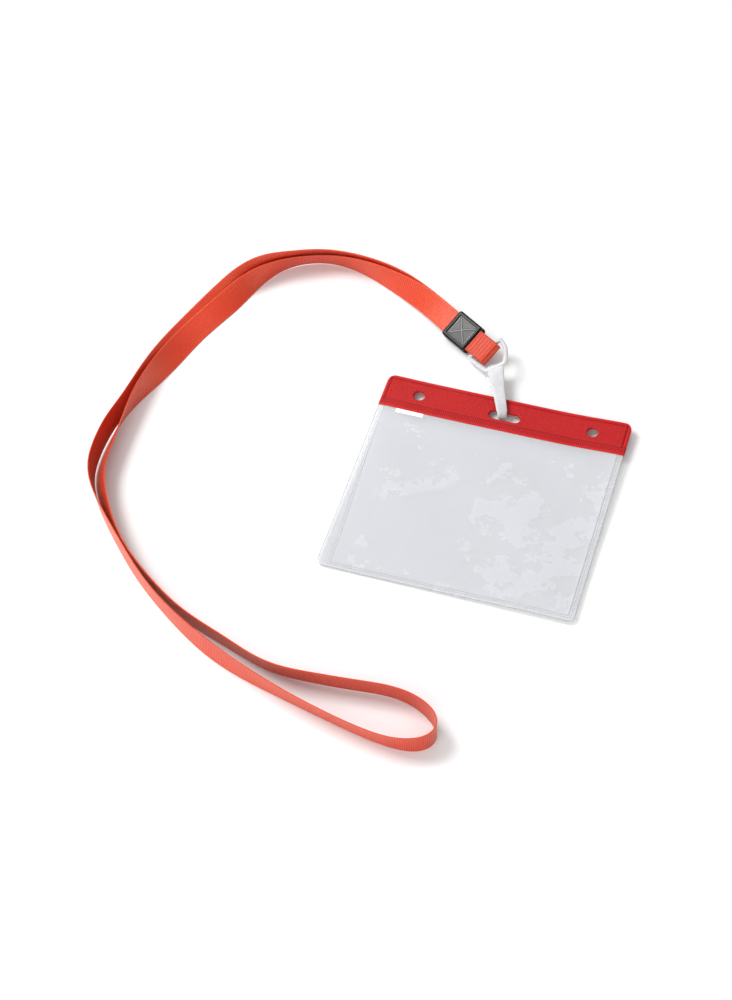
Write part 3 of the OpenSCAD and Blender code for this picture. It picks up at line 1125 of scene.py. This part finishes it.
# ---------------------------------------------------------------------- holder
@dataclass(frozen=True)
class HolderMaker:
    """The welded pouch and its header, lying slightly sprung on the floor."""

    half: float = HALF_WIDTH
    y_low: float = -54.0
    y_head: float = 36.0
    y_weld: float = 40.0
    y_top: float = 54.0
    hole_x: float = 39.0
    hole_y: float = 45.5
    hole_r: float = 2.5
    slot_y: float = 44.2
    slot_half: float = 4.75
    slot_r: float = 2.25

    def spring(self, x: Array, y: Array) -> Array:
        """How far the soft holder lifts off its plane.

        Args:
            x: Place along the header.
            y: Place towards the header.

        Returns:
            Lift in millimetres, nought near the slot.
        """
        far = smooth01((np.hypot(x, (y - self.slot_y) * 0.8) - 14) / 40)
        right = smooth01((x - 8) / 52) * 1.1
        left = smooth01((-x - 20) / 40) * 0.35
        low = smooth01((self.y_low + 26 - y) / 26) * (0.75 + 0.5 * np.sin(x / 17.0 + 0.6))
        ripple = 0.12 * np.sin(x / 9.0 + y / 21.0) + 0.12
        return far * (right + left + low + ripple)

    def place(self, p: Array) -> Array:
        """Move holder points into the shared frame.

        Args:
            p: Points on the flat holder.

        Returns:
            The points in the shared frame.
        """
        x, y = p[:, 0], p[:, 1] - LOW_EDGE
        z = p[:, 2] + self.spring(x, p[:, 1])
        c, s = math.cos(LEAN), math.sin(LEAN)
        return np.stack([x, LOW_EDGE + y * c - z * s, y * s + z * c], 1)

    def header_distance(self, x: Array, y: Array) -> Array:
        """Signed distance to the header's outline and its openings.

        Args:
            x: Place along the header.
            y: Place towards its top.

        Returns:
            Distance, negative inside the vinyl.
        """
        r = 4.0
        ax = np.abs(x)
        box = np.maximum(ax - self.half, np.maximum(y - self.y_top, self.y_head - y))
        corner = np.hypot(ax - self.half + r, y - self.y_top + r) - r
        in_corner = (ax > self.half - r) & (y > self.y_top - r)
        d = np.where(in_corner, corner, box)
        hole = self.hole_r - np.hypot(ax - self.hole_x, y - self.hole_y)
        slot = self.slot_r - np.hypot(np.maximum(ax - self.slot_half, 0), y - self.slot_y)
        return np.maximum(d, np.maximum(hole, slot))

    def header_front(self) -> bpy.types.Object:
        """Front strip: bead, grain panel and ribbed weld strip.

        Returns:
            The new object.
        """

        def top(x: Array, y: Array, inside: Array) -> Array:
            rim = 0.3 * (1 - np.sqrt(1 - (1 - np.clip(inside / 0.35, 0, 1)) ** 2))
            ax = np.abs(x)
            border = np.minimum(self.half - ax, self.y_top - y)
            bead = 0.26 * np.exp(-((border - 0.85) / 0.5) ** 4) * (y > self.y_weld - 0.6)
            right = 0.10 * np.exp(-((self.half - x - 2.7) / 0.35) ** 2) * (y > self.y_weld)
            crease = -0.18 * np.exp(-((border - 1.8) / 0.3) ** 2) * (y > self.y_weld)
            strip = smooth01((self.y_weld + 0.1 - y) / 0.5)
            ribs = 0.5 + 0.5 * np.cos(x * math.tau / 0.8)
            lip = smooth01((y - self.y_head - 0.75) / 0.25) * smooth01((self.y_weld - 0.25 - y) / 0.3)
            hole = np.abs(np.hypot(ax - self.hole_x, y - self.hole_y) - self.hole_r - 0.75)
            slot = np.abs(np.hypot(np.maximum(ax - self.slot_half, 0), y - self.slot_y)
                          - self.slot_r - 0.75)
            swell = 0.09 * np.exp(-(np.minimum(hole, slot) / 0.45) ** 2)
            return (0.85 + bead + right + crease + swell - rim - 0.12 * strip
                    + 0.22 * ribs * lip * strip)

        def bottom(x: Array, y: Array, inside: Array) -> Array:
            return np.where(y < self.y_weld + 0.2, 0.52, 0.27) + 0 * x

        return Plate("header_front_vinyl", (-self.half, self.y_head), (self.half, self.y_top),
                     (550, 62), self.header_distance, top, bottom).build(self.place)

    def header_back(self) -> bpy.types.Object:
        """Back strip, plain with a soft edge.

        Returns:
            The new object.
        """

        def bottom(x: Array, y: Array, inside: Array) -> Array:
            return -0.35 + 0.2 * (1 - np.sqrt(1 - (1 - np.clip(inside / 0.35, 0, 1)) ** 2))

        def top(x: Array, y: Array, inside: Array) -> Array:
            return np.where(y < self.y_weld + 0.2, -0.02, 0.24) + 0 * x

        return Plate("header_back_vinyl", (-self.half, self.y_head), (self.half, self.y_top),
                     (330, 54), self.header_distance, top, bottom).build(self.place)

    def pouch_distance(self, x: Array, y: Array) -> Array:
        """Signed distance to the pouch's outline.

        Args:
            x: Place across the pouch.
            y: Place towards the header.

        Returns:
            Distance, negative inside the film.
        """
        r = 3.0
        ax = np.abs(x)
        box = np.maximum(ax - self.half + 0.15, np.maximum(y - self.y_weld + 0.05, self.y_low - y))
        corner = np.hypot(ax - self.half + 0.15 + r, y - self.y_low - r) - r
        return np.where((ax > self.half - FILM_INSET - r) & (y < self.y_low + r), corner, box)

    def puff(self, x: Array, y: Array) -> Array:
        """Air between the films: a gentle swell, flat at the welds.

        Args:
            x: Place across the pouch.
            y: Place towards the header.

        Returns:
            Height in millimetres.
        """
        room = smooth01((self.half - 5 - np.abs(x)) / 16) * smooth01((y - self.y_low - 4) / 12) \
            * smooth01((self.y_head - y) / 10)
        wave = 0.30 + 0.12 * np.sin(x / 13.0 + 1.3) * np.cos(y / 17.0) + 0.10 * np.sin((x + y) / 8.5)
        mouth = 0.45 * np.exp(-((y - 30) / 5.0) ** 2) * smooth01((50 - np.abs(x)) / 12)
        return room * wave + mouth * smooth01((self.y_head + 1 - y) / 4)

    def film_front(self) -> bpy.types.Object:
        """Front film with its double weld lines.

        Returns:
            The new object.
        """

        def top(x: Array, y: Array, inside: Array) -> Array:
            side = self.half - FILM_INSET - np.abs(x)
            low = y - self.y_low
            near = np.minimum(side, low)
            weld = 0.14 * np.exp(-((near - 1.3) / 0.3) ** 2) + 0.18 * np.exp(-((near - 3.1) / 0.4) ** 2)
            groove = -0.10 * np.exp(-((near - 2.2) / 0.3) ** 2)
            below = smooth01((self.y_head - 1 - y) / 2)
            return 0.5 + self.puff(x, y) + (weld + groove) * below

        def bottom(x: Array, y: Array, inside: Array) -> Array:
            return 0.27 + self.puff(x, y)

        edge_x = self.half - FILM_INSET
        return Plate("film_front_clear", (-edge_x, self.y_low), (edge_x, self.y_weld - 0.05),
                     (274, 160), self.pouch_distance, top, bottom).build(self.place)

    def film_back(self) -> bpy.types.Object:
        """Back film, flat under the front one.

        Returns:
            The new object.
        """
        edge_x = self.half - FILM_INSET
        return Plate("film_back_clear", (-edge_x, self.y_low), (edge_x, self.y_weld - 0.05),
                     (150, 90), self.pouch_distance, lambda x, y, d: 0.25 + 0 * x,
                     lambda x, y, d: 0.0 * x).build(self.place)


# ---------------------------------------------------------------------- studio
@dataclass(frozen=True)
class Studio:
    """Plain floor, a soft key from the left, top and fill lights and even white surroundings."""

    key: float = 13.0
    sky: float = 0.55
    floor_half: float = 3.0

    def build(self, finishes: Finishes) -> None:
        """Make the floor, the lights and the surroundings.

        Args:
            finishes: The shared materials.
        """
        mesh = bpy.data.meshes.new("floor")
        w = self.floor_half
        mesh.from_pydata([(-w, -w, 0), (w, -w, 0), (w, w, 0), (-w, w, 0)], [], [(0, 1, 2, 3)])
        floor = bpy.data.objects.new("floor", mesh)
        floor.data.materials.append(finishes.floor())
        bpy.context.scene.collection.objects.link(floor)
        self.light("key_light", (-0.8, 0.1, 0.95), 0.55, self.key)
        self.light("top_light", (-0.3, 0.9, 1.4), 1.0, self.key * 0.2)
        self.light("fill_light", (-0.15, -1.3, 0.6), 1.2, self.key * 0.95)
        floor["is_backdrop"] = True
        world = bpy.data.worlds.new("surroundings")
        world.use_nodes = True
        glow = world.node_tree.nodes["Background"]
        glow.inputs[0].default_value = (1, 1, 1, 1)
        glow.inputs[1].default_value = self.sky
        bpy.context.scene.world = world
        bpy.context.scene.view_settings.view_transform = "Standard"

    def light(self, name: str, where: tuple[float, float, float], size: float, power: float) -> None:
        """Make one square light that faces the middle of the object.

        Args:
            name: Light name.
            where: Its place in metres.
            size: Edge length in metres.
            power: Power in watts.
        """
        data = bpy.data.lights.new(name, "AREA")
        data.size = size
        data.energy = power
        lamp = bpy.data.objects.new(name, data)
        lamp.location = where
        aim = Vector((-0.04, 0.0, 0.0)) - Vector(where)
        lamp.rotation_euler = aim.to_track_quat("-Z", "Y").to_euler()
        bpy.context.scene.collection.objects.link(lamp)


def main() -> None:
    """Build the whole scene."""
    logging.basicConfig(level=logging.INFO, format="%(name)s: %(message)s")
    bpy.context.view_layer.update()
    CameraRig().build()
    finishes = Finishes()
    weave = finishes.ribbon("ribbon_weave", 0.15)
    loop_weave = finishes.ribbon("loop_weave", 0.15, 0.0017)
    ribbon = RibbonMaker()
    crimp = CrimpMaker()
    neck, line = ribbon.neck()
    finish_piece(neck, weave, Body.LANYARD, Slot.RIBBON, "neck_ribbon")
    loop = finish_piece(ribbon.hook_loop(crimp), loop_weave, Body.LANYARD, Slot.RIBBON, "hook_loop_ribbon")
    path = line[::PATH_STEP]
    if (len(line) - 1) % PATH_STEP:
        path = np.vstack([path, line[-1:]])

    black = finishes.black("crimp_black")
    finish_piece(crimp.front(), black, Body.LANYARD, Slot.CRIMP, "crimp_front")
    finish_piece(crimp.back(), black, Body.LANYARD, Slot.CRIMP, "crimp_back")

    milky = finishes.milky("hook_milky")
    hook = HookMaker()
    finish_piece(hook.stem(), milky, Body.HOOK, Slot.MILKY, "hook_body")
    finish_piece(hook.ring(), milky, Body.HOOK, Slot.MILKY)
    finish_piece(hook.gate(), milky, Body.GATE, Slot.MILKY, "hook_gate")

    holder = HolderMaker()
    finish_piece(holder.header_front(), finishes.vinyl("header_grain", False), Body.HOLDER,
                 Slot.HEADER, "header_front")
    finish_piece(holder.header_back(), finishes.vinyl("header_plain", True), Body.HOLDER,
                 Slot.HEADER, "header_back")
    finish_piece(holder.film_front(), finishes.film("film_front_finish", 0.36), Body.HOLDER,
                 Slot.FILM, "film_front")
    finish_piece(holder.film_back(), finishes.film("film_back_finish", 0.30), Body.HOLDER,
                 Slot.FILM, "film_back")
    Studio().build(finishes)
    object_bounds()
    LOG.info("pieces placed")


if __name__ == "__main__":
    main()
